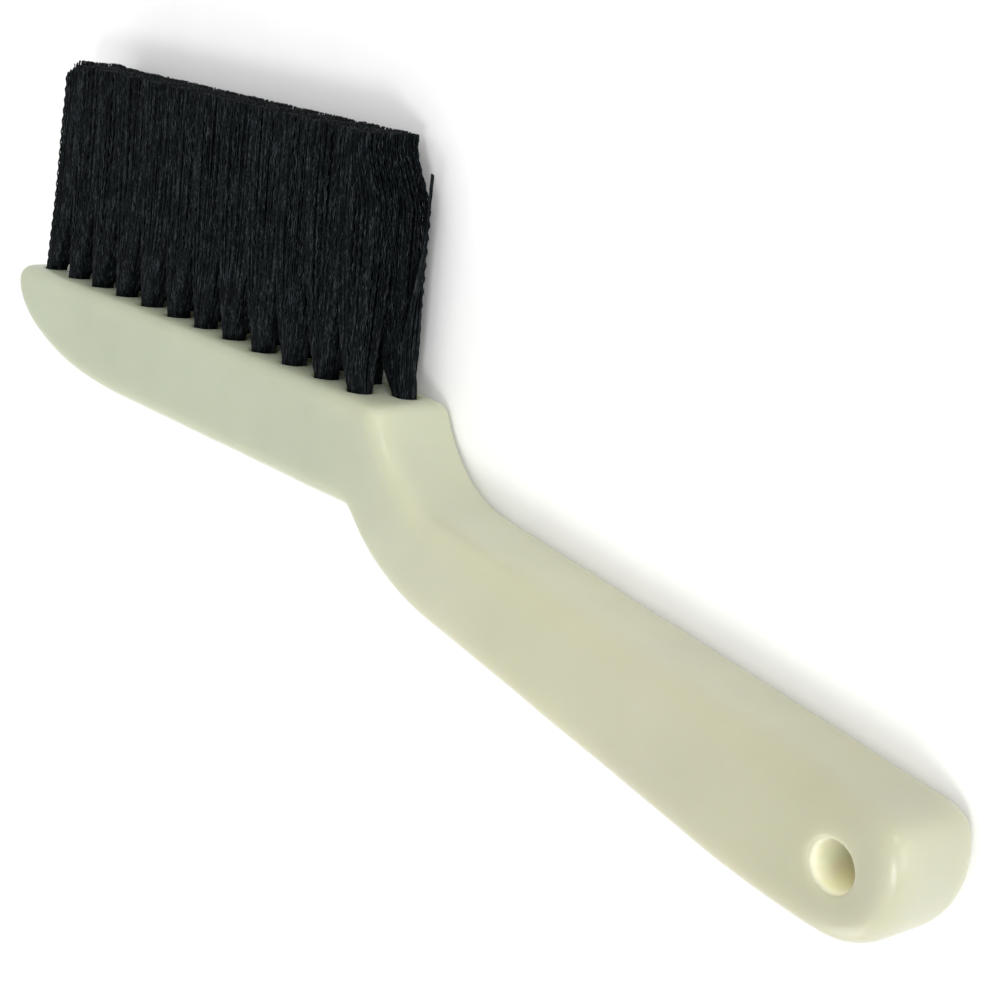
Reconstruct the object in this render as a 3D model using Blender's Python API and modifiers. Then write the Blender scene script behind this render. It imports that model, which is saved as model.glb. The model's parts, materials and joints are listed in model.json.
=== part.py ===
"""Bee brush: a one-piece moulded plastic back and handle, with two staggered
rows of bristle tufts.  Each tuft is folded over a flat metal anchor and set in
its own blind hole.

The brush lies on one flat side: +X runs along the length from the tip of the
head to the end of the handle, +Y is the way the bristles point, and +Z is up.
The origin is under the middle of the whole brush, on the surface it lies on.
Sizes are in metres.
"""
import math

import bmesh
import bpy

# ---- driving dimensions -------------------------------------------------
THICKNESS = 0.0193          # between the two flat sides
TIP_X = -0.1373             # end of the head
FACE_Y = 0.0013             # bristle face, level with the first and last tuft
FACE_CROWN = 0.0005         # how far that face bulges at its middle
HEAD_BACK_Y = -0.0197       # back of the head
NOSE_LENGTH = 0.048         # the back sweeps up to the tip along this length
NOSE_END_Y = -0.0027        # where the sweep stands upright, just under the tip

HEAD_EDGE_RADIUS = 0.0030   # rounding between the sides and the rim
HANDLE_EDGE_RADIUS = 0.0042
SOFTENING_START_X = 0.000   # the rounding grows along the neck
SOFTENING_END_X = 0.040

HANG_HOLE_X = 0.1252
HANG_HOLE_Y = -0.0372
HANG_HOLE_RADIUS = 0.0040
HANG_HOLE_MOUTH = 0.0008    # rounding of the hole's two mouths

TUFTS_PER_ROW = 12
TUFT_PITCH = 0.0112
FIRST_TUFT_X = -0.1287      # first tuft of the upper row
ROW_STAGGER = 0.0050        # the lower row starts this much further along
ROW_OFFSET = 0.0034         # each row's distance from the middle of the back

TUFT_HOLE_RADIUS = 0.0026
TUFT_HOLE_DEPTH = 0.0109    # shallow enough to leave a wall at the tip, behind the first tuft
GAP = 0.0003                # clearance between neighbouring pieces
TRIM_Y = 0.0494             # the bristles are cut level here
FOLD_HEIGHT = 0.0014        # rounded underside of the folded tuft
TUFT_FLARE_START = 0.0012   # above the face, where a tuft starts to spread
TUFT_FLARE_LENGTH = 0.024   # it has spread into its neighbours after this
BLOCK_START_X = -0.1272     # the bristles as a block, at the trimmed end
BLOCK_END_X = -0.0005
BLOCK_HALF_WIDTH = 0.0062

ANCHOR_WIDTH = 0.0046       # flat wire across the hole
ANCHOR_HEIGHT = 0.0018
ANCHOR_THICKNESS = 0.0004
ANCHOR_DEPTH = 0.0082       # from the bristle face to the anchor's middle

# ---- resolution ---------------------------------------------------------
ARC_STEP = math.radians(6.0)    # outline arcs
NOSE_STEPS = 14
EDGE_SEGMENTS = 5
SLICES_X = [0.026 * i for i in range(-5, 6)]    # the plate's faces are divided here
HOLE_SEGMENTS = 24
HANG_HOLE_SEGMENTS = 40
TUFT_SEGMENTS = 16
TUFT_CORNER_POWER = 0.35        # 1 is an ellipse, 0 a sharp rectangle
FOLD_STEPS = 2
FLARE_STEPS = 5

MID_Z = THICKNESS / 2
MID_FACE_X = FIRST_TUFT_X + (TUFTS_PER_ROW - 1) * TUFT_PITCH / 2
HALF_FACE = (TUFTS_PER_ROW - 1) * TUFT_PITCH / 2


# ---- scene, collections and materials -----------------------------------
def clear_scene():
    for item in list(bpy.data.objects):
        bpy.data.objects.remove(item, do_unlink=True)


def new_collection(name):
    collection = bpy.data.collections.new(name)
    bpy.context.scene.collection.children.link(collection)
    return collection


def new_material(name, color, roughness, metallic):
    material = bpy.data.materials.new(name)
    material.use_nodes = True
    shader = material.node_tree.nodes["Principled BSDF"]
    shader.inputs["Base Color"].default_value = (*color, 1.0)
    shader.inputs["Roughness"].default_value = roughness
    shader.inputs["Metallic"].default_value = metallic
    material.diffuse_color = (*color, 1.0)
    return material


def new_object(name, data, collection, material=None):
    item = bpy.data.objects.new(name, data)
    collection.objects.link(item)
    if material is not None:
        data.materials.append(material)
    return item


def mesh_from(mesh_builder, name):
    mesh = bpy.data.meshes.new(name)
    mesh_builder.to_mesh(mesh)
    mesh_builder.free()
    return mesh


def hide_cutter(cutter):
    cutter.hide_render = True
    cutter.display_type = "WIRE"


def cut(target, cutter):
    boolean = target.modifiers.new("cut_" + cutter.name, "BOOLEAN")
    boolean.operation = "DIFFERENCE"
    boolean.solver = "EXACT"
    boolean.object = cutter


# ---- small geometry helpers ---------------------------------------------
def smooth_step(value, start, end):
    t = min(max((value - start) / (end - start), 0.0), 1.0)
    return t * t * (3.0 - 2.0 * t)


def mix(a, b, amount):
    return a + (b - a) * amount


def rounded_corner(before, corner, after, radius):
    """Points of the arc of this radius that rounds one corner of an outline."""
    in_x, in_y = before[0] - corner[0], before[1] - corner[1]
    out_x, out_y = after[0] - corner[0], after[1] - corner[1]
    in_length = math.hypot(in_x, in_y)
    out_length = math.hypot(out_x, out_y)
    in_x, in_y = in_x / in_length, in_y / in_length
    out_x, out_y = out_x / out_length, out_y / out_length
    half_angle = math.acos(in_x * out_x + in_y * out_y) / 2
    to_centre = radius / math.sin(half_angle)
    bisector = math.hypot(in_x + out_x, in_y + out_y)
    centre_x = corner[0] + (in_x + out_x) / bisector * to_centre
    centre_y = corner[1] + (in_y + out_y) / bisector * to_centre
    tangent = radius / math.tan(half_angle)
    start = math.atan2(corner[1] + in_y * tangent - centre_y, corner[0] + in_x * tangent - centre_x)
    end = math.atan2(corner[1] + out_y * tangent - centre_y, corner[0] + out_x * tangent - centre_x)
    turn = (end - start + math.pi) % (2 * math.pi) - math.pi
    steps = max(3, math.ceil(abs(turn) / ARC_STEP))
    angles = [start + turn * i / steps for i in range(steps + 1)]
    return [(centre_x + radius * math.cos(a), centre_y + radius * math.sin(a)) for a in angles]


def face_y(x):
    """Height of the crowned bristle face along the row."""
    u = (x - MID_FACE_X) / HALF_FACE
    return FACE_Y + FACE_CROWN * (1.0 - u * u)


# ---- the moulded back and handle ----------------------------------------
def nose_points():
    """Quarter ellipse from the flat back of the head up to the tip."""
    height = NOSE_END_Y - HEAD_BACK_Y
    centre_x = TIP_X + NOSE_LENGTH
    angles = [math.pi / 2 * i / NOSE_STEPS for i in range(NOSE_STEPS + 1)]
    return [(centre_x - NOSE_LENGTH * math.sin(a), NOSE_END_Y - height * math.cos(a)) for a in angles]


def side_outline():
    """Outline seen from the side, from the tip round by the bristle face."""
    crown_top = FACE_Y + 2 * FACE_CROWN      # where the two end tangents of the crown meet
    face_end = FACE_Y - 0.0002
    crown_radius = HALF_FACE ** 2 / (2 * FACE_CROWN)
    corners = [
        (TIP_X, face_end, 0.0038),              # tip
        (MID_FACE_X, crown_top, crown_radius),  # crowned bristle face
        (0.0069, face_end, 0.0040),             # end of the head
        (0.0142, -0.0132, 0.024),               # hollow in front of the handle
        (0.1361, -0.0273, 0.0050),              # handle end, bristle side
        (0.1379, -0.0363, 0.012),               # handle end, middle
        (0.1335, -0.0500, 0.0125),              # handle end, back
        (0.1100, -0.0490, 0.150),               # the back line eases here
        (0.0123, -0.0315, 0.045),               # shoulder behind the neck
        (0.0004, HEAD_BACK_Y, 0.0025),          # notch under the head
    ]
    nose = nose_points()
    loop = [nose[-1]] + [(x, y) for x, y, radius in corners] + [nose[0]]
    points = []
    for index, (x, y, radius) in enumerate(corners):
        points += rounded_corner(loop[index], (x, y), loop[index + 2], radius)
    return points + nose


def outline_to_mesh(points, half_depth):
    """Solid plate of this outline, made from a flat filled curve."""
    curve = bpy.data.curves.new("plate_outline", "CURVE")
    curve.dimensions = "2D"
    curve.fill_mode = "BOTH"
    curve.extrude = half_depth
    curve.render_resolution_u = 0
    spline = curve.splines.new("POLY")
    spline.points.add(len(points) - 1)
    for point, (x, y) in zip(spline.points, points):
        point.co = (x, y, 0.0, 1.0)
    spline.use_cyclic_u = True
    holder = bpy.data.objects.new("plate_outline", curve)
    bpy.context.scene.collection.objects.link(holder)
    graph = bpy.context.evaluated_depsgraph_get()
    mesh = bpy.data.meshes.new_from_object(holder.evaluated_get(graph))
    bpy.data.objects.remove(holder, do_unlink=True)
    return mesh


def weld_and_slice(mesh):
    """Weld the caps to the wall, and divide the plate into slices across its length."""
    builder = bmesh.new()
    builder.from_mesh(mesh)
    bmesh.ops.remove_doubles(builder, verts=builder.verts, dist=0.00001)
    builder.normal_update()
    inside_caps = [
        edge for edge in builder.edges
        if len(edge.link_faces) == 2 and all(abs(face.normal.z) > 0.99 for face in edge.link_faces)
    ]
    bmesh.ops.dissolve_edges(builder, edges=inside_caps, use_verts=False)
    for slice_x in SLICES_X:
        everything = builder.verts[:] + builder.edges[:] + builder.faces[:]
        bmesh.ops.bisect_plane(
            builder, geom=everything, plane_co=(slice_x, 0.0, 0.0), plane_no=(1.0, 0.0, 0.0))
    bmesh.ops.recalc_face_normals(builder, faces=builder.faces)
    builder.to_mesh(mesh)
    builder.free()


def weight_rim_edges(mesh, half_depth):
    """Give each rim edge its share of the handle's edge radius."""
    weights = mesh.attributes.new("bevel_weight_edge", "FLOAT", "EDGE")
    for edge in mesh.edges:
        first, second = (mesh.vertices[i].co for i in edge.vertices)
        on_a_side = abs(first.z - second.z) < half_depth and abs(abs(first.z) - half_depth) < half_depth / 10
        if on_a_side:
            softness = smooth_step((first.x + second.x) / 2, SOFTENING_START_X, SOFTENING_END_X)
            radius = mix(HEAD_EDGE_RADIUS, HANDLE_EDGE_RADIUS, softness)
            weights.data[edge.index].value = radius / HANDLE_EDGE_RADIUS


def hole_positions():
    """Name, x and z of each tuft hole, row by row."""
    rows = (("upper", 0.0, ROW_OFFSET), ("lower", ROW_STAGGER, -ROW_OFFSET))
    for row, shift, offset in rows:
        for index in range(TUFTS_PER_ROW):
            yield f"{row}_{index + 1:02d}", FIRST_TUFT_X + shift + index * TUFT_PITCH, MID_Z + offset


def tuft_hole_cutter(collection):
    """All the blind tuft holes, as one group of cylinders along Y."""
    builder = bmesh.new()
    above_face = 0.003
    for _, x, z in hole_positions():
        made = bmesh.ops.create_cone(
            builder, cap_ends=True, segments=HOLE_SEGMENTS, radius1=TUFT_HOLE_RADIUS,
            radius2=TUFT_HOLE_RADIUS, depth=TUFT_HOLE_DEPTH + above_face)
        for vertex in made["verts"]:
            along_x, along_z, along_y = vertex.co
            middle_y = face_y(x) + (above_face - TUFT_HOLE_DEPTH) / 2
            vertex.co = (x + along_x, middle_y + along_y, z + along_z)
    bmesh.ops.recalc_face_normals(builder, faces=builder.faces)
    cutter = new_object("tuft_hole_cutter", mesh_from(builder, "tuft_hole_cutter"), collection)
    hide_cutter(cutter)
    return cutter


def hang_hole_cutter(collection):
    """Round pin with flared ends: a profile turned about the hole's axis."""
    steps = 4
    past_side = 0.002
    quarter = [math.pi / 2 * i / steps for i in range(steps + 1)]
    wide = HANG_HOLE_RADIUS + HANG_HOLE_MOUTH
    upper_mouth = [
        (wide - HANG_HOLE_MOUTH * math.sin(a), MID_Z - HANG_HOLE_MOUTH * (1 - math.cos(a))) for a in quarter]
    lower_mouth = [(radius, -height) for radius, height in reversed(upper_mouth)]
    profile = [(0.0, MID_Z + past_side), (wide, MID_Z + past_side)]
    profile += upper_mouth + lower_mouth
    profile += [(wide, -MID_Z - past_side), (0.0, -MID_Z - past_side)]
    builder = bmesh.new()
    points = [builder.verts.new((radius, 0.0, height)) for radius, height in profile]
    for first, second in zip(points, points[1:]):
        builder.edges.new((first, second))
    cutter = new_object("hang_hole_cutter", mesh_from(builder, "hang_hole_cutter"), collection)
    cutter.location = (HANG_HOLE_X, HANG_HOLE_Y, MID_Z)
    turn = cutter.modifiers.new("turn", "SCREW")
    turn.steps = HANG_HOLE_SEGMENTS
    turn.render_steps = HANG_HOLE_SEGMENTS
    turn.use_merge_vertices = True
    turn.merge_threshold = 0.00001
    hide_cutter(cutter)
    return cutter


def build_body(parts, cutters, material):
    mesh = outline_to_mesh(side_outline(), MID_Z)
    weld_and_slice(mesh)
    weight_rim_edges(mesh, MID_Z)
    mesh.materials.clear()
    body = new_object("moulded_body", mesh, parts, material)
    body.location = (0.0, 0.0, MID_Z)
    rounding = body.modifiers.new("edge_rounding", "BEVEL")
    rounding.limit_method = "WEIGHT"
    rounding.width = HANDLE_EDGE_RADIUS
    rounding.segments = EDGE_SEGMENTS
    rounding.use_clamp_overlap = False
    cut(body, tuft_hole_cutter(cutters))
    cut(body, hang_hole_cutter(cutters))
    mesh.shade_smooth()
    mesh.set_sharp_from_angle(angle=math.radians(35.0))
    return body


# ---- the bristle tufts --------------------------------------------------
def block_cell(index, row_sign):
    """Middle and half size of a tuft's share of the trimmed bristle block."""
    stagger = 0.0 if row_sign > 0 else ROW_STAGGER / 2
    cell = (BLOCK_END_X - BLOCK_START_X - ROW_STAGGER / 2) / TUFTS_PER_ROW
    middle_x = BLOCK_START_X + stagger + (index + 0.5) * cell
    half_x = (cell - GAP) / 2
    half_z = (BLOCK_HALF_WIDTH - GAP / 2) / 2
    middle_z = MID_Z + row_sign * (GAP / 2 + half_z)
    return middle_x, middle_z, half_x, half_z


def tuft_ring(centre, round_radius, cell, spread):
    """One cross-section, between the round root and the squared-off block."""
    middle_x, middle_z, half_x, half_z = cell
    ring = []
    for step in range(TUFT_SEGMENTS):
        angle = 2 * math.pi * step / TUFT_SEGMENTS
        c, s = math.cos(angle), math.sin(angle)
        square_x = middle_x + half_x * math.copysign(abs(c) ** TUFT_CORNER_POWER, c)
        square_z = middle_z + half_z * math.copysign(abs(s) ** TUFT_CORNER_POWER, s)
        round_x = centre[0] + round_radius * c
        round_z = centre[1] + round_radius * s
        ring.append((mix(round_x, square_x, spread), mix(round_z, square_z, spread)))
    return ring


def tuft_mesh(name, x, z, cell):
    """Loft from the folded root in its hole to the trimmed end."""
    root_radius = TUFT_HOLE_RADIUS - GAP
    bottom_y = face_y(x) - TUFT_HOLE_DEPTH + GAP
    flare_y = face_y(x) + TUFT_FLARE_START
    sections = []
    for step in range(FOLD_STEPS):
        angle = math.pi / 2 * (step + 1) / (FOLD_STEPS + 1)
        sections.append((bottom_y + FOLD_HEIGHT * (1 - math.cos(angle)), root_radius * math.sin(angle), 0.0))
    sections.append((bottom_y + FOLD_HEIGHT, root_radius, 0.0))
    for step in range(FLARE_STEPS + 1):
        fraction = step / FLARE_STEPS
        sections.append((flare_y + fraction * TUFT_FLARE_LENGTH, root_radius, smooth_step(fraction, 0.0, 1.0)))
    sections.append((TRIM_Y, root_radius, 1.0))
    builder = bmesh.new()
    rings = []
    for y, radius, spread in sections:
        ring = tuft_ring((x, z), radius, cell, spread)
        rings.append([builder.verts.new((ring_x, y, ring_z)) for ring_x, ring_z in ring])
    for lower, upper in zip(rings, rings[1:]):
        for step in range(TUFT_SEGMENTS):
            following = (step + 1) % TUFT_SEGMENTS
            builder.faces.new((lower[step], upper[step], upper[following], lower[following]))
    builder.faces.new(rings[0])
    builder.faces.new(reversed(rings[-1]))
    bmesh.ops.recalc_face_normals(builder, faces=builder.faces)
    return mesh_from(builder, name)


def anchor_y(x):
    return face_y(x) - ANCHOR_DEPTH


def fold_window_cutter(collection):
    """The space that each folded tuft leaves for its anchor."""
    builder = bmesh.new()
    size_x = 2 * (TUFT_HOLE_RADIUS + GAP)
    size_y = ANCHOR_HEIGHT + 2 * GAP
    size_z = ANCHOR_THICKNESS + 2 * GAP
    for _, x, z in hole_positions():
        made = bmesh.ops.create_cube(builder, size=1.0)
        for vertex in made["verts"]:
            across, up, through = vertex.co
            vertex.co = (x + across * size_x, anchor_y(x) + up * size_y, z + through * size_z)
    cutter = new_object("fold_window_cutter", mesh_from(builder, "fold_window_cutter"), collection)
    hide_cutter(cutter)
    return cutter


def build_tufts(parts, cutters, material):
    windows = fold_window_cutter(cutters)
    for order, (label, x, z) in enumerate(hole_positions()):
        row_sign = 1 if z > MID_Z else -1
        cell = block_cell(order % TUFTS_PER_ROW, row_sign)
        name = "bristle_tuft_" + label
        mesh = tuft_mesh(name, x, z, cell)
        tuft = new_object(name, mesh, parts, material)
        cut(tuft, windows)
        mesh.shade_smooth()
        mesh.set_sharp_from_angle(angle=math.radians(50.0))


# ---- the anchors --------------------------------------------------------
def anchor_mesh():
    builder = bmesh.new()
    bmesh.ops.create_cube(builder, size=1.0)
    for vertex in builder.verts:
        across, up, through = vertex.co
        vertex.co = (across * ANCHOR_WIDTH, up * ANCHOR_HEIGHT, through * ANCHOR_THICKNESS)
    return mesh_from(builder, "tuft_anchor")


def build_anchors(parts, material):
    mesh = anchor_mesh()
    mesh.materials.append(material)
    for label, x, z in hole_positions():
        anchor = new_object("tuft_anchor_" + label, mesh, parts)
        anchor.location = (x, anchor_y(x), z)


def main():
    clear_scene()
    parts = new_collection("bee_brush")
    cutters = new_collection("cutters")
    plastic = new_material("cream_plastic", (0.62, 0.62, 0.45), 0.38, 0.0)
    bristle = new_material("black_bristle", (0.012, 0.013, 0.015), 0.45, 0.0)
    steel = new_material("anchor_steel", (0.55, 0.55, 0.53), 0.30, 1.0)
    build_body(parts, cutters, plastic)
    build_tufts(parts, cutters, bristle)
    build_anchors(parts, steel)


main()
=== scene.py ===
"""Looks of the bee brush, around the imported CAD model.

The moulded body gets a fine, softened skin in milky cream plastic.  Each CAD
tuft is replaced by its filaments: crimped tubes that leave the root hole as a
round bundle, gather in locks, and spread into the squared-off, trimmed block.
The CAD anchors stay, in drawn steel.  Metres, in the CAD frame: +X to the
handle end, +Y the way the bristles point, +Z up from the flat side that the
brush lies on.
"""
import json
import math

import bpy
import numpy as np
from mathutils import Matrix, Vector


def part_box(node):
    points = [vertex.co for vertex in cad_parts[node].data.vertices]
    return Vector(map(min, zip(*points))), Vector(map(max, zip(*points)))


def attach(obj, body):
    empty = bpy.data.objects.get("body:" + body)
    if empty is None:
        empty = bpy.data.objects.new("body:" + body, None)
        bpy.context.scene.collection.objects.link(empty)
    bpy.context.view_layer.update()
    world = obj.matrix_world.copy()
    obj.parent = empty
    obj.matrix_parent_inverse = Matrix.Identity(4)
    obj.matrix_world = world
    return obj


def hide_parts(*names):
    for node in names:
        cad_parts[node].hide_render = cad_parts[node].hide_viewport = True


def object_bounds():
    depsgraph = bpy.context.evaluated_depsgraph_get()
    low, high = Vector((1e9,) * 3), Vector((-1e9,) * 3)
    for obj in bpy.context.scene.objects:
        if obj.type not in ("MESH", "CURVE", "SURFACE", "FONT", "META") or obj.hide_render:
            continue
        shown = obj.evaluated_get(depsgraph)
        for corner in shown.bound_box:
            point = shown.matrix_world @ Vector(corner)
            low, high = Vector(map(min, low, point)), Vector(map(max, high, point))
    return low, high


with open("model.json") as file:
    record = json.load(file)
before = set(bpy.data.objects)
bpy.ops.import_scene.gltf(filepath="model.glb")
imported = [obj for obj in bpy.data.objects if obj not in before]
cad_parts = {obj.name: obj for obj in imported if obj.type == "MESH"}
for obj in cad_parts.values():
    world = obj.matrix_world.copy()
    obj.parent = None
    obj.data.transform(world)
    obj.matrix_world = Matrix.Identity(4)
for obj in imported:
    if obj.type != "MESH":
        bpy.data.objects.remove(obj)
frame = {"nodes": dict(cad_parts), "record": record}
cad_low, cad_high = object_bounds()

# ---- camera ---------------------------------------------------------------
CAMERA_PLACE = (0.2780, 0.0816, 0.2248)
CAMERA_RIGHT = (0.6344, 0.1105, -0.7651)
CAMERA_UP = (-0.2769, 0.9566, -0.0914)
CAMERA_LENS_MM = 68.48
CAMERA_SENSOR_MM = 36.0
CAMERA_CLIP_START = 0.01

# ---- studio ---------------------------------------------------------------
WORLD_STRENGTH = 0.86
LAMPS = [                           # name, place, width in metres, power in watts
    ("key", (0.80, -0.35, 0.90), 0.30, 4.2),
    ("end_fill", (1.30, 0.12, 0.28), 0.90, 6.0),
    ("fold_light", (0.60, 0.75, 0.55), 0.30, 1.8),
    ("low_fill", (-0.10, -1.00, 0.35), 0.60, 3.0),
]
FLOOR_REACH = 3.0                   # from the origin to each side of the floor

# ---- shape of the body skin -----------------------------------------------
WELD_DISTANCE = 0.00001             # joins the corners that the CAD faces meet in
SKIN_VOXEL = 0.0006
SMOOTHING_FACTOR = 0.5
SKIN_SMOOTHING_ROUNDS = 6
HANDLE_SMOOTHING_ROUNDS = 60        # the handle's edges are much rounder than the head's
HANDLE_SOFT_SPAN = (-0.004, 0.030)  # X where that rounding starts, and where it is full
HOLE_KEEP_SPAN = (1.7, 3.0)         # the same around the hang hole, in half widths of its box
SKIN_WAVE_HEIGHT = 0.00006          # faint unevenness that thick mouldings have
MAIN_WAVE_RATE = 190.0              # radians per metre along X
MAIN_WAVE_BEND = 2.0                # radians that it is shifted by, to and fro along Y
MAIN_WAVE_BEND_RATE = 120.0
CROSS_WAVES = [                     # height next to the main wave's, rates along X, Y, Z, shift
    (0.7, (330.0, 0.0, 260.0), 1.3),
    (0.5, (-140.0, 410.0, 0.0), 0.4),
]

# ---- cream plastic --------------------------------------------------------
# Besides the tint, these colours hold painted light and shade: lighter about the neck, darker towards
# the handle's end.
PLASTIC_TINTS_AND_PAINTED_LIGHT = [                   # along the brush, from the head's tip to the handle's end
    (0.00, (0.445, 0.484, 0.360)),
    (0.45, (0.438, 0.472, 0.352)),
    (0.57, (0.490, 0.500, 0.372)),
    (0.70, (0.493, 0.492, 0.355)),
    (0.80, (0.482, 0.478, 0.355)),
    (0.93, (0.447, 0.443, 0.315)),
    (1.00, (0.435, 0.438, 0.332)),
]
MOTTLING_SCALE = 45.0               # per metre, as all noise scales
MOTTLING_RANGE = (0.91, 1.09)
SATIN_SCALE = 160.0
SATIN_ROUGHNESS = (0.27, 0.41)
GRAIN_SCALE = 1400.0
GRAIN_STRENGTH = 0.10
GRAIN_HEIGHT = 0.0001
SCATTER_COLOR = (1.0, 0.85, 0.60)   # how far red, green and blue light go in, next to each other
SCATTER_DEPTH = 0.006
PLASTIC_IOR = 1.49
# The paler colour on the hang hole's wall is a painted glow, for the light inside the plastic.
PAINTED_HOLE_GLOW_COLOR = (0.86, 0.86, 0.70)
HOLE_WALL_PER_BOX = 1.4545          # the record's box fits inside the round hang hole
HOLE_GLOW_BAND = (0.99, 1.07)       # hole radii between which the painted glow fades out

# ---- bristle, steel and floor materials -----------------------------------
PAINTED_GLINT_SCALES = (4200.0, 1300.0)     # across and along the bristles
LOCK_TONE_SCALES = (1500.0, 230.0)
LOCK_TONE_SHARE = 0.55              # of the bristles' tone, with painted glints (short highlights) for the rest
# The palest stop makes the painted glints: highlights put into the colour.
BRISTLE_TONES_AND_PAINTED_GLINTS = [
    (0.38, (0.0016, 0.0028, 0.0034)),
    (0.52, (0.0056, 0.0080, 0.0090)),
    (0.66, (0.031, 0.037, 0.041)),
]
BRISTLE_ROUGHNESS = (0.58, 0.30)
BRISTLE_SPECULAR = 0.06
WIRE_MARK_SCALE = 2500.0
WIRE_TONES = [(0.35, (0.42, 0.42, 0.41)), (0.65, (0.60, 0.60, 0.58))]
WIRE_ROUGHNESS = (0.25, 0.42)
PAPER_FIBRE_SCALE = 90.0
PAPER_TONES = [(0.2, (0.94, 0.94, 0.94)), (0.8, (0.97, 0.97, 0.97))]
PAPER_ROUGHNESS = 0.9

# ---- filaments and their roots --------------------------------------------
FILAMENT_RADIUS = 0.00016
FILAMENT_SIDES = 3
FILAMENT_POINTS = 92
FILAMENT_SEED = 1400                # the first tuft's; each further tuft takes the next number
GRID_ACROSS = 19                    # filaments of a tuft, along X and along Z
GRID_DEEP = 13
GRID_JITTER = 0.9                   # 1 is half the distance between neighbours
EDGE_CROWDING = 0.78                # below 1, filaments crowd to the outside of their tuft
ANCHOR_BELOW_FACE = 0.0082          # from an anchor's middle up to the bristle face
ROOT_RADIUS = 0.00228
ROOT_DEPTH = 0.0030                 # filaments are modelled from this far down their hole

# ---- how filaments run up the block ---------------------------------------
# Here and below, a span is two shares of the way from the bristle face to the
# trimmed end: where something starts, and where it is full.
LOCKS_ACROSS = 7
LOCKS_DEEP = 4
LOCK_PULL = 0.50                    # how strongly filaments gather into their lock
LOCK_PULL_SPAN = (0.05, 0.35)
LOCK_RELEASE = 0.4                  # the share of that pull that is gone at the trimmed end
LOCK_RELEASE_SPAN = (0.75, 1.0)
FLARE_POWER = 2.6                   # how early the filaments fan out
FAN_OVERLAP = 1.38                  # width along X of a tuft's trimmed end, next to its cell's
SIDE_OVERLAP = 1.06                 # the same along Z, where the rows' inner sides mix
WANDER = 0.0007                     # most that a filament has drifted at the trimmed end
DRIFT_POWER = 1.5                   # and how late in the filament that drift comes
CRIMP_HEIGHT = 0.00015
CRIMP_HEIGHT_RANGE = (0.6, 1.3)     # from filament to filament
CRIMP_LENGTHS = (0.0023, 0.0032)    # from lock to lock
CRIMP_LENGTH_RANGE = (0.97, 1.03)   # from filament to filament
CRIMP_PHASE_SCATTER = 0.5           # radians
CRIMP_HEADING_SCATTER = 0.3
CRIMP_START = (-0.0005, 0.003)      # above the face: where crimp starts, and where it is full

# ---- trimmed edge and ends of the block -----------------------------------
CELL_SLICE = 0.0005                 # depth of CAD tuft in which its trimmed end is measured
TRIM_SCATTER = 0.00004
LOCK_TRIM_SCATTER = 0.00004
FIRST_END_LEAN = 0.0056             # how far the block's first end leans in at the top
FIRST_LEAN_POWER = 0.9
LAST_END_LEAN = 0.0057
LAST_LEAN_SPAN = (0.70, 0.97)
LAST_END_TUCK = 0.0010              # the last tuft hardly fans out past its root
LAST_TUCK_SPAN = (0.0, 0.1)
LEAN_REACH = 0.018                  # along X from the end tufts' roots, how far a lean is felt
CORNER_DROP = 0.0026                # the first end's upper corner is trimmed lower
CORNER_RISE = 0.0006                # and the rest of that end stands a little proud
CORNER_REACH = 0.016                # along X from the first tuft's root
CORNER_DEPTH = 0.0034               # along Z from the upper side

# ---- the thin spike beside the last tuft ----------------------------------
STRAY_TUFT = "lower_12"             # its outer filaments were cut shorter and stand apart
STRAY_SHARE = 0.80                  # place in the tuft beyond which a filament is one of them
STRAY_DROP = 0.0060                 # how much shorter the longest of them is
STRAY_SCATTER = 0.0030              # and by how much more the others are
STRAY_BOW = 0.0014                  # how far they bow outwards
STRAY_BOW_SPAN = (0.1, 0.8)
STRAY_PULL = 0.95                   # and are drawn together into the spike
STRAY_PULL_SPAN = (0.1, 0.65)
STRAY_SLACK = 0.25                  # their crimp and drift, next to the others'


# ---- the record and the CAD tufts -----------------------------------------
def hang_hole():
    """Middle of the hang hole, and half the width of the record's box in it."""
    opening, = frame["record"]["physics"]["openings"]
    low, high = np.array(opening["box_m"])
    return (low + high) / 2, (high - low)[0] / 2


def block_ends():
    """X where the CAD tufts start and end, which is at the end tufts' roots."""
    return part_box("bristle_tuft_upper_01")[0][0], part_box("bristle_tuft_lower_12")[1][0]


def block_sides():
    """Z of the CAD tufts' two outer sides, which is at their trimmed ends."""
    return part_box("bristle_tuft_lower_01")[0][2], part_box("bristle_tuft_upper_01")[1][2]


def root_place(label):
    """Where a tuft leaves its hole: on the axis of the hole, level with the bristle face."""
    low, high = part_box("tuft_anchor_" + label)
    middle = (np.array(low) + np.array(high)) / 2
    return middle[0], middle[1] + ANCHOR_BELOW_FACE, middle[2]


def trimmed_cell(label):
    """Middle and half size of a CAD tuft's trimmed end, and its height."""
    vertices = frame["nodes"]["bristle_tuft_" + label].data.vertices
    points = np.array([vertex.co for vertex in vertices])
    top = points[:, 1].max()
    end = points[points[:, 1] > top - CELL_SLICE]
    low, high = end.min(0), end.max(0)
    return ((low + high) / 2, (high - low) / 2), top


# ---- node helpers ---------------------------------------------------------
def node_link(tree, source, source_socket, target, target_socket):
    tree.links.new(source.outputs[source_socket], target.inputs[target_socket])


def new_material(name):
    material = bpy.data.materials.new(name)
    material.use_nodes = True
    return material, material.node_tree, material.node_tree.nodes["Principled BSDF"]


def noise_node(tree, scale, detail):
    place = tree.nodes.new("ShaderNodeTexCoord")
    noise = tree.nodes.new("ShaderNodeTexNoise")
    noise.inputs["Scale"].default_value = scale
    noise.inputs["Detail"].default_value = detail
    node_link(tree, place, "Object", noise, "Vector")
    return noise


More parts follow.
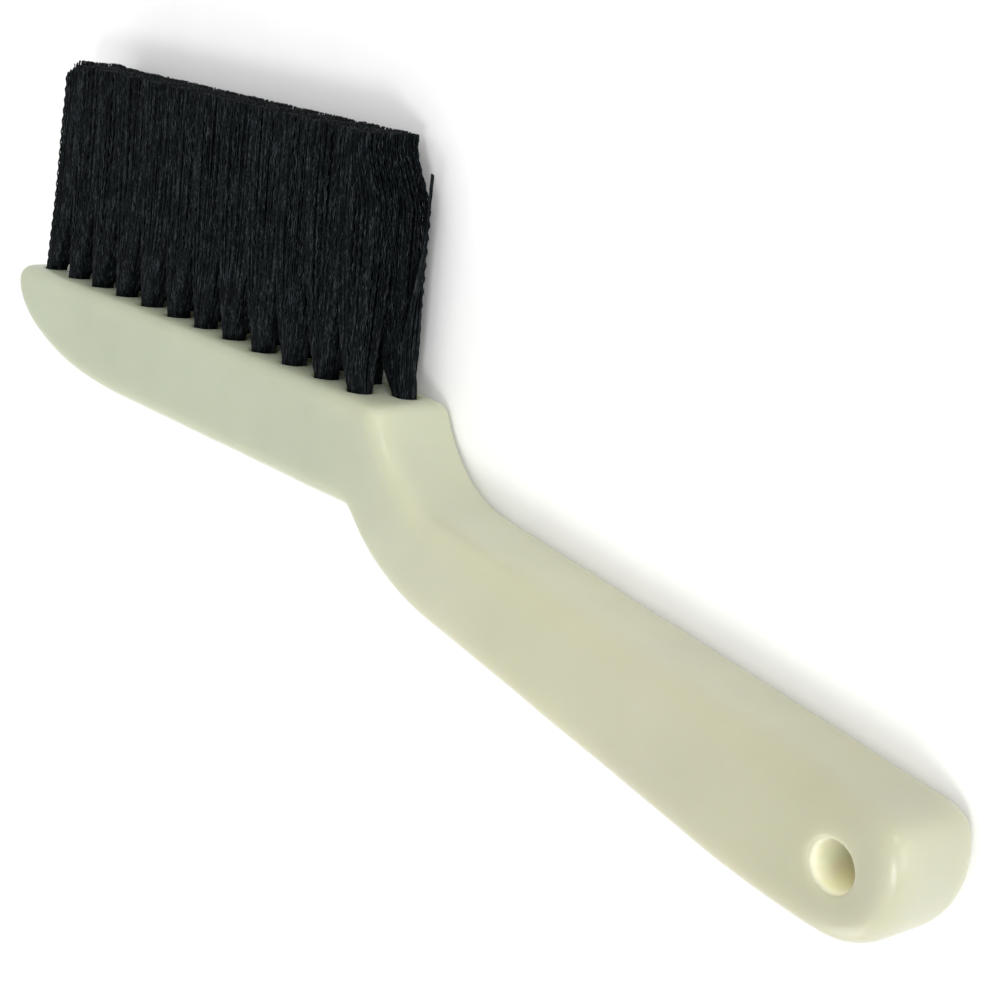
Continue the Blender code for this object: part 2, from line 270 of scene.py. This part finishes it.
def stretched_noise(tree, place, across, along):
    """Noise with its own scales across and along the bristles, which point along Y."""
    stretch = tree.nodes.new("ShaderNodeMapping")
    stretch.inputs["Scale"].default_value = (across, along, across)
    node_link(tree, place, "Object", stretch, "Vector")
    noise = tree.nodes.new("ShaderNodeTexNoise")
    noise.inputs["Scale"].default_value = 1.0
    noise.inputs["Detail"].default_value = 1.0
    node_link(tree, stretch, "Vector", noise, "Vector")
    return noise


def ramp_node(tree, source, socket, stops):
    """Colour ramp from stops of (position, colour)."""
    ramp = tree.nodes.new("ShaderNodeValToRGB")
    elements = ramp.color_ramp.elements
    for _ in range(len(stops) - len(elements)):
        elements.new(0.5)
    for element, (position, color) in zip(elements, stops):
        element.position = position
        element.color = (*color, 1.0)
    node_link(tree, source, socket, ramp, "Fac")
    return ramp


def range_node(tree, source, socket, low, high):
    """Maps a value onto low to high; it runs from 0 to 1 unless the caller says otherwise."""
    mapped = tree.nodes.new("ShaderNodeMapRange")
    mapped.inputs["To Min"].default_value = low
    mapped.inputs["To Max"].default_value = high
    node_link(tree, source, socket, mapped, "Value")
    return mapped


def vector_node(tree, operation, source, socket):
    """Vector arithmetic on a colour or a place; the caller sets its second input."""
    vector = tree.nodes.new("ShaderNodeVectorMath")
    vector.operation = operation
    node_link(tree, source, socket, vector, 0)
    return vector


# ---- materials ------------------------------------------------------------
def painted_hole_glow_mask(tree, place):
    """1 on the wall of the hang hole, where a paler colour is painted for the glow of light inside
    the plastic, 0 elsewhere.
    """
    middle, half_width = hang_hole()
    radius = half_width * HOLE_WALL_PER_BOX
    flat = vector_node(tree, "MULTIPLY", place, "Object")
    flat.inputs[1].default_value = (1.0, 1.0, 0.0)
    away = vector_node(tree, "DISTANCE", flat, "Vector")
    away.inputs[1].default_value = (middle[0], middle[1], 0.0)
    mask = range_node(tree, away, "Value", 1.0, 0.0)
    mask.inputs["From Min"].default_value = radius * HOLE_GLOW_BAND[0]
    mask.inputs["From Max"].default_value = radius * HOLE_GLOW_BAND[1]
    return mask


def mottled_tint_and_painted_light(tree, place):
    """The plastic's colour, warmer along the handle than on the head, with painted light and shade
    (lighter about the neck, darker towards the handle's end), and a little uneven.
    """
    split = tree.nodes.new("ShaderNodeSeparateXYZ")
    node_link(tree, place, "Object", split, "Vector")
    along = range_node(tree, split, "X", 0.0, 1.0)
    along.inputs["From Min"].default_value = cad_low[0]
    along.inputs["From Max"].default_value = cad_high[0]
    # painted light and shade along X: lighter about the neck, darker towards the handle's end
    tint = ramp_node(tree, along, "Result", PLASTIC_TINTS_AND_PAINTED_LIGHT)
    clouds = noise_node(tree, MOTTLING_SCALE, detail=4.0)
    strength = range_node(tree, clouds, "Fac", *MOTTLING_RANGE)
    mottled = vector_node(tree, "SCALE", tint, "Color")
    node_link(tree, strength, "Result", mottled, "Scale")
    return mottled


def cream_plastic():
    """Milky polypropylene: light goes some way in, and the surface is satin with a fine grain."""
    material, tree, shader = new_material("cream_plastic")
    place = tree.nodes.new("ShaderNodeTexCoord")
    lit = tree.nodes.new("ShaderNodeMix")
    lit.data_type = "RGBA"
    lit.inputs["B"].default_value = (*PAINTED_HOLE_GLOW_COLOR, 1.0)
    # the hang hole's wall gets a painted glow
    node_link(tree, painted_hole_glow_mask(tree, place), "Result", lit, "Factor")
    node_link(tree, mottled_tint_and_painted_light(tree, place), "Vector", lit, "A")
    node_link(tree, lit, "Result", shader, "Base Color")
    patches = noise_node(tree, SATIN_SCALE, detail=4.0)
    satin = range_node(tree, patches, "Fac", *SATIN_ROUGHNESS)
    node_link(tree, satin, "Result", shader, "Roughness")
    bump = tree.nodes.new("ShaderNodeBump")
    bump.inputs["Strength"].default_value = GRAIN_STRENGTH
    bump.inputs["Distance"].default_value = GRAIN_HEIGHT
    node_link(tree, noise_node(tree, GRAIN_SCALE, detail=3.0), "Fac", bump, "Height")
    node_link(tree, bump, "Normal", shader, "Normal")
    shader.subsurface_method = "RANDOM_WALK"
    shader.inputs["Subsurface Weight"].default_value = 1.0
    shader.inputs["Subsurface Radius"].default_value = SCATTER_COLOR
    shader.inputs["Subsurface Scale"].default_value = SCATTER_DEPTH
    shader.inputs["IOR"].default_value = PLASTIC_IOR
    return material


def black_bristle():
    """Dark synthetic filament: near black, paler along some locks, with short glints painted in as
    highlights.
    """
    material, tree, shader = new_material("black_bristle")
    place = tree.nodes.new("ShaderNodeTexCoord")
    tone_and_glints = tree.nodes.new("ShaderNodeMix")
    tone_and_glints.inputs["Factor"].default_value = LOCK_TONE_SHARE
    # painted glints: short highlights in the base colour
    node_link(tree, stretched_noise(tree, place, *PAINTED_GLINT_SCALES), "Fac", tone_and_glints, "A")
    node_link(tree, stretched_noise(tree, place, *LOCK_TONE_SCALES), "Fac", tone_and_glints, "B")
    color = ramp_node(tree, tone_and_glints, "Result", BRISTLE_TONES_AND_PAINTED_GLINTS)
    node_link(tree, color, "Color", shader, "Base Color")
    rough = range_node(tree, tone_and_glints, "Result", *BRISTLE_ROUGHNESS)
    node_link(tree, rough, "Result", shader, "Roughness")
    shader.inputs["Specular IOR Level"].default_value = BRISTLE_SPECULAR
    return material


def anchor_steel():
    """Drawn flat wire: bright metal with fine marks."""
    material, tree, shader = new_material("anchor_steel")
    marks = noise_node(tree, WIRE_MARK_SCALE, detail=4.0)
    color = ramp_node(tree, marks, "Fac", WIRE_TONES)
    node_link(tree, color, "Color", shader, "Base Color")
    shader.inputs["Metallic"].default_value = 1.0
    rough = range_node(tree, marks, "Fac", *WIRE_ROUGHNESS)
    node_link(tree, rough, "Result", shader, "Roughness")
    return material


def floor_paper():
    """Pale studio paper, faintly uneven."""
    material, tree, shader = new_material("floor_paper")
    fibre = noise_node(tree, PAPER_FIBRE_SCALE, detail=5.0)
    color = ramp_node(tree, fibre, "Fac", PAPER_TONES)
    node_link(tree, color, "Color", shader, "Base Color")
    shader.inputs["Roughness"].default_value = PAPER_ROUGHNESS
    return material


# ---- small sums -----------------------------------------------------------
def smooth_step(value, start, end):
    """0 before start, 1 after end, and a smooth rise between them."""
    t = np.clip((value - start) / (end - start), 0.0, 1.0)
    return t * t * (3.0 - 2.0 * t)


def square_to_disc(u, v):
    """Maps the square -1..1 to the unit disc without crossing."""
    return u * np.sqrt(1 - v * v / 2), v * np.sqrt(1 - u * u / 2)


def even_places(count):
    """Middles of equal steps from -1 to 1."""
    return (np.arange(count) + 0.5) / count * 2 - 1


def step_number(place, count):
    """Which of those equal steps each place is in."""
    return np.clip(np.floor((place + 1) / 2 * count), 0, count - 1).astype(int)


def pulled(place, target, share):
    """Moves each place a share of the way to its target."""
    return place + (target - place) * share


def fold_between(value, low, high):
    """Keeps a value between low and high, by mirroring what would pass them."""
    value = np.where(value < low, 2 * low - value, value)
    return np.where(value > high, 2 * high - value, value)


# ---- body skin ------------------------------------------------------------
def soft_waves(points):
    """Slow, smooth unevenness over the moulding, from -1 to 1 at each point."""
    x, y, _ = points.T
    height = np.sin(x * MAIN_WAVE_RATE + MAIN_WAVE_BEND * np.sin(y * MAIN_WAVE_BEND_RATE))
    highest = 1.0
    for share, rates, shift in CROSS_WAVES:
        height += share * np.sin(points @ np.array(rates) + shift)
        highest += share
    return height / highest


def handle_softness(points):
    """How freely each point of the skin is eased: the handle fully, the head and hang hole not."""
    middle, half_width = hang_hole()
    from_hole = np.hypot(points[:, 0] - middle[0], points[:, 1] - middle[1]) / half_width
    along = smooth_step(points[:, 0], *HANDLE_SOFT_SPAN)
    return along * smooth_step(from_hole, *HOLE_KEEP_SPAN)


def add_smoothing(skin, name, rounds):
    smooth = skin.modifiers.new(name, "SMOOTH")
    smooth.factor = SMOOTHING_FACTOR
    smooth.iterations = rounds
    return smooth


def apply_modifiers(skin):
    graph = bpy.context.evaluated_depsgraph_get()
    result = bpy.data.meshes.new_from_object(skin.evaluated_get(graph))
    skin.modifiers.clear()
    skin.data = result


def add_fine_mesh(skin):
    """Even, fine faces instead of the CAD's, with the edges between flat faces eased."""
    weld = skin.modifiers.new("weld", "WELD")
    weld.merge_threshold = WELD_DISTANCE
    remesh = skin.modifiers.new("remesh", "REMESH")
    remesh.mode = "VOXEL"
    remesh.voxel_size = SKIN_VOXEL
    add_smoothing(skin, "ease", SKIN_SMOOTHING_ROUNDS)
    apply_modifiers(skin)


def soften_handle(skin):
    """Rounds the handle's edges further, by each point's softness."""
    points = np.array([vertex.co for vertex in skin.data.vertices])
    group = skin.vertex_groups.new(name="handle")
    for index, weight in enumerate(handle_softness(points)):
        if weight > 0.0:
            group.add([index], float(weight), "REPLACE")
    add_smoothing(skin, "round_handle", HANDLE_SMOOTHING_ROUNDS).vertex_group = group.name
    apply_modifiers(skin)
    skin.vertex_groups.clear()


def add_waves(skin):
    """Moves each point along its normal, so no face is quite flat, but never below the floor."""
    vertices = skin.data.vertices
    points = np.empty(len(vertices) * 3)
    normals = np.empty(len(vertices) * 3)
    vertices.foreach_get("co", points)
    vertices.foreach_get("normal", normals)
    points = points.reshape(-1, 3)
    normals = normals.reshape(-1, 3)
    points += normals * (soft_waves(points) * SKIN_WAVE_HEIGHT)[:, None]
    points[:, 2] = np.maximum(points[:, 2], cad_low[2])
    vertices.foreach_set("co", points.ravel())
    skin.data.update()


def build_body_skin(material):
    mesh = frame["nodes"]["moulded_body"].data.copy()
    skin = bpy.data.objects.new("moulded_body_skin", mesh)
    bpy.context.scene.collection.objects.link(skin)
    add_fine_mesh(skin)
    soften_handle(skin)
    add_waves(skin)
    skin.data.shade_smooth()
    skin.data.materials.clear()
    skin.data.materials.append(material)
    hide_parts("moulded_body")
    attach(skin, "root")


# ---- ends and trimmed edge of the block -----------------------------------
def last_tuck(above):
    """How far the last end is held back along X, a share above of the way up."""
    return LAST_END_TUCK * smooth_step(above, *LAST_TUCK_SPAN)


def end_lean(x, above):
    """Shift along X that makes the block's two ends lean in towards the top."""
    first_x, last_x = block_ends()
    at_first = 1.0 - smooth_step(x, first_x, first_x + LEAN_REACH)
    at_last = smooth_step(x, last_x - LEAN_REACH, last_x)
    first_lean = FIRST_END_LEAN * above ** FIRST_LEAN_POWER
    last_lean = LAST_END_LEAN * smooth_step(above, *LAST_LEAN_SPAN)
    return first_lean * at_first - (last_lean + last_tuck(above)) * at_last


def trim_height(end_x, end_z, top_y):
    """Height that a filament is trimmed to, lower at the first end's upper corner."""
    first_x = block_ends()[0]
    near_first = 1.0 - smooth_step(end_x, first_x, first_x + CORNER_REACH)
    upper = block_sides()[1]
    at_corner = smooth_step(end_z, upper - CORNER_DEPTH, upper)
    return top_y + near_first * (CORNER_RISE - (CORNER_DROP + CORNER_RISE) * at_corner)


def fan_place(cell, u, v, drift, above):
    """Where filaments stand in the block, a share above of the way up to its trimmed end."""
    middle, half = cell
    drift_x, drift_z = drift * above ** DRIFT_POWER
    x = fold_between(middle[0] + half[0] * u * FAN_OVERLAP + drift_x, *block_ends())
    z = fold_between(middle[2] + half[2] * v * SIDE_OVERLAP + drift_z, *block_sides())
    return x, z


# ---- filaments ------------------------------------------------------------
def crowd_outwards(place):
    """Shifts places from -1 to 1 towards the nearer end of that range."""
    return np.sign(place) * np.minimum(np.abs(place), 1.0) ** EDGE_CROWDING


def tuft_grid(rng):
    """Each filament's place in its tuft, from -1 to 1 along X and along Z."""
    u, v = np.meshgrid(even_places(GRID_ACROSS), even_places(GRID_DEEP))
    u = u.ravel() + rng.uniform(-GRID_JITTER, GRID_JITTER, u.size) / GRID_ACROSS
    v = v.ravel() + rng.uniform(-GRID_JITTER, GRID_JITTER, v.size) / GRID_DEEP
    return crowd_outwards(u), crowd_outwards(v)


def find_locks(u, v):
    """Each filament's lock, and the place of that lock's middle in the tuft."""
    across = step_number(u, LOCKS_ACROSS)
    deep = step_number(v, LOCKS_DEEP)
    lock = deep * LOCKS_ACROSS + across
    return lock, even_places(LOCKS_ACROSS)[across], even_places(LOCKS_DEEP)[deep]


def filament_tops(end_x, end_z, top_y, lock, stray, rng):
    """Height of each filament's trimmed end."""
    locks = LOCKS_ACROSS * LOCKS_DEEP
    tops = trim_height(end_x, end_z, top_y)
    tops += rng.normal(0.0, TRIM_SCATTER, lock.size)
    tops += rng.normal(0.0, LOCK_TRIM_SCATTER, locks)[lock]
    shorter = np.abs(rng.normal(0.0, STRAY_SCATTER, int(stray.sum())))
    tops[stray] = top_y - STRAY_DROP - shorter
    return tops


def crimp_waves(y, start_y, face_y, lock, slack, rng):
    """Crimp of each filament, as shifts along X and along Z; locks keep roughly in step."""
    locks = LOCKS_ACROSS * LOCKS_DEEP
    count = lock.size
    length = rng.uniform(*CRIMP_LENGTHS, locks)[lock] * rng.uniform(*CRIMP_LENGTH_RANGE, count)
    phase = rng.uniform(0, 2 * math.pi, locks)[lock] + rng.normal(0, CRIMP_PHASE_SCATTER, count)
    heading = rng.uniform(0, math.pi, locks)[lock] + rng.normal(0, CRIMP_HEADING_SCATTER, count)
    height = CRIMP_HEIGHT * rng.uniform(*CRIMP_HEIGHT_RANGE, count) * slack
    low, full = CRIMP_START
    wave = np.sin(2 * math.pi * (y - start_y) / length[:, None] + phase[:, None])
    wave *= height[:, None] * smooth_step(y, face_y + low, face_y + full)
    return wave * np.cos(heading)[:, None], wave * np.sin(heading)[:, None]


def held_places(u, v, lock_u, lock_v, stray, above):
    """Places in the tuft on the way up, drawn to the lock's middle, and for strays to the spike."""
    pull = LOCK_PULL * smooth_step(above, *LOCK_PULL_SPAN)
    pull *= 1 - LOCK_RELEASE * smooth_step(above, *LOCK_RELEASE_SPAN)
    gather = STRAY_PULL * smooth_step(above, *STRAY_PULL_SPAN) * stray[:, None]
    held_u = pulled(u[:, None], lock_u[:, None], pull)
    held_v = pulled(v[:, None], lock_v[:, None], pull)
    return pulled(held_u, 1.0, gather), pulled(held_v, 0.0, gather)


def filament_paths(label, rng):
    """Centre lines of one tuft's filaments, as an array of filament, point, xyz."""
    root_x, face_y, root_z = root_place(label)
    cell, top_y = trimmed_cell(label)
    u, v = tuft_grid(rng)
    lock, lock_u, lock_v = find_locks(u, v)
    stray = (u > STRAY_SHARE) & (label == STRAY_TUFT)
    slack = np.where(stray, STRAY_SLACK, 1.0)
    drift = rng.uniform(-WANDER, WANDER, (2, u.size)) * slack

    end_pull = LOCK_PULL * (1 - LOCK_RELEASE)
    end_u = pulled(u, lock_u, end_pull)
    end_v = pulled(v, lock_v, end_pull)
    end_x, end_z = fan_place(cell, end_u, end_v, drift, 1.0)
    end_y = filament_tops(end_x, end_z, top_y, lock, stray, rng)

    start_y = face_y - ROOT_DEPTH
    rise = np.linspace(0.0, 1.0, FILAMENT_POINTS)
    y = start_y + rise * (end_y[:, None] - start_y)
    above = np.clip((y - face_y) / (top_y - face_y), 0.0, 1.0)

    held_u, held_v = held_places(u, v, lock_u, lock_v, stray, above)
    disc_x, disc_z = square_to_disc(held_u, held_v)
    fan_x, fan_z = fan_place(cell, held_u, held_v, drift[:, :, None], above)
    spread = 1.0 - (1.0 - above) ** FLARE_POWER
    x = (root_x + ROOT_RADIUS * disc_x) * (1 - spread) + fan_x * spread
    z = (root_z + ROOT_RADIUS * disc_z) * (1 - spread) + fan_z * spread

    crimp_x, crimp_z = crimp_waves(y, start_y, face_y, lock, slack, rng)
    x = x + crimp_x
    z = z + crimp_z
    bow = STRAY_BOW * smooth_step(above, *STRAY_BOW_SPAN) - last_tuck(above)
    x = x + np.where(stray[:, None], bow, end_lean(x, above))
    return np.stack([x, y, z], axis=2)


def tubes_mesh(name, paths):
    """One mesh of thin closed tubes along the paths, which all run roughly along Y."""
    count, points, _ = paths.shape
    sides = np.arange(FILAMENT_SIDES)
    following = (sides + 1) % FILAMENT_SIDES
    angles = 2 * math.pi * sides / FILAMENT_SIDES
    ring = np.stack([np.cos(angles), np.zeros(FILAMENT_SIDES), np.sin(angles)], axis=1)
    verts = paths[:, :, None, :] + ring * FILAMENT_RADIUS

    tube_starts = np.arange(count) * points * FILAMENT_SIDES
    levels = np.arange(points - 1)[:, None] * FILAMENT_SIDES
    low = tube_starts[:, None, None] + levels
    high = low + FILAMENT_SIDES
    quads = np.stack([low + sides, low + following, high + following, high + sides], axis=3)
    bottoms = tube_starts[:, None] + sides[::-1]
    tops = tube_starts[:, None] + (points - 1) * FILAMENT_SIDES + sides
    corners = np.concatenate([quads.ravel(), bottoms.ravel(), tops.ravel()])
    sizes = np.concatenate([np.full(quads.size // 4, 4), np.full(2 * count, FILAMENT_SIDES)])
    face_starts = np.concatenate([[0], np.cumsum(sizes)[:-1]])

    mesh = bpy.data.meshes.new(name)
    mesh.vertices.add(verts.size // 3)
    mesh.vertices.foreach_set("co", verts.astype(np.float32).ravel())
    mesh.loops.add(corners.size)
    mesh.loops.foreach_set("vertex_index", corners.astype(np.int32))
    mesh.polygons.add(sizes.size)
    mesh.polygons.foreach_set("loop_start", face_starts.astype(np.int32))
    mesh.update(calc_edges=True)
    mesh.shade_smooth()
    return mesh


def build_bristles(material):
    """Filaments for each CAD tuft, each with its own random start, in the order of their names."""
    tufts = sorted(name for name in frame["nodes"] if name.startswith("bristle_tuft_"))
    for order, node in enumerate(tufts):
        label = node.removeprefix("bristle_tuft_")
        rng = np.random.default_rng(FILAMENT_SEED + order)
        name = "filaments_" + label
        mesh = tubes_mesh(name, filament_paths(label, rng))
        mesh.materials.append(material)
        tuft = bpy.data.objects.new(name, mesh)
        bpy.context.scene.collection.objects.link(tuft)
        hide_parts("bristle_tuft_" + label)
        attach(tuft, "root")


# ---- anchors --------------------------------------------------------------
def finish_anchors(material):
    """The CAD anchors keep their shape and get the steel."""
    for name, node in frame["nodes"].items():
        if name.startswith("tuft_anchor_"):
            node.data.materials.clear()
            node.data.materials.append(material)


# ---- studio ---------------------------------------------------------------
def build_floor(material):
    mesh = bpy.data.meshes.new("floor")
    reach = FLOOR_REACH
    corners = [(-reach, -reach, 0.0), (reach, -reach, 0.0), (reach, reach, 0.0), (-reach, reach, 0.0)]
    mesh.from_pydata(corners, [], [(0, 1, 2, 3)])
    mesh.materials.append(material)
    floor = bpy.data.objects.new("floor", mesh)
    bpy.context.scene.collection.objects.link(floor)


def area_light(name, place, width, power):
    """A soft round lamp that looks at the origin, under the middle of the brush."""
    light = bpy.data.lights.new(name, "AREA")
    light.shape = "DISK"
    light.size = width
    light.energy = power
    lamp = bpy.data.objects.new(name, light)
    bpy.context.scene.collection.objects.link(lamp)
    lamp.location = place
    lamp.rotation_euler = (-Vector(place)).to_track_quat("-Z", "Y").to_euler()


def build_lights():
    """Even white surroundings, and the lamps."""
    world = bpy.data.worlds.new("studio")
    bpy.context.scene.world = world
    world.use_nodes = True
    background = world.node_tree.nodes["Background"]
    background.inputs["Color"].default_value = (1.0, 1.0, 1.0, 1.0)
    background.inputs["Strength"].default_value = WORLD_STRENGTH
    for name, place, width, power in LAMPS:
        area_light(name, place, width, power)


def build_camera():
    """The photograph's viewpoint."""
    right, up = Vector(CAMERA_RIGHT), Vector(CAMERA_UP)
    back = right.cross(up)
    data = bpy.data.cameras.new("camera")
    data.lens = CAMERA_LENS_MM
    data.sensor_width = CAMERA_SENSOR_MM
    data.clip_start = CAMERA_CLIP_START
    camera = bpy.data.objects.new("camera", data)
    bpy.context.scene.collection.objects.link(camera)
    rotation = Matrix((right, up, back)).transposed().to_4x4()
    camera.matrix_world = Matrix.Translation(CAMERA_PLACE) @ rotation
    bpy.context.scene.camera = camera


build_camera()
build_body_skin(cream_plastic())
build_bristles(black_bristle())
finish_anchors(anchor_steel())
build_floor(floor_paper())
build_lights()
bpy.context.scene.view_settings.view_transform = "Standard"
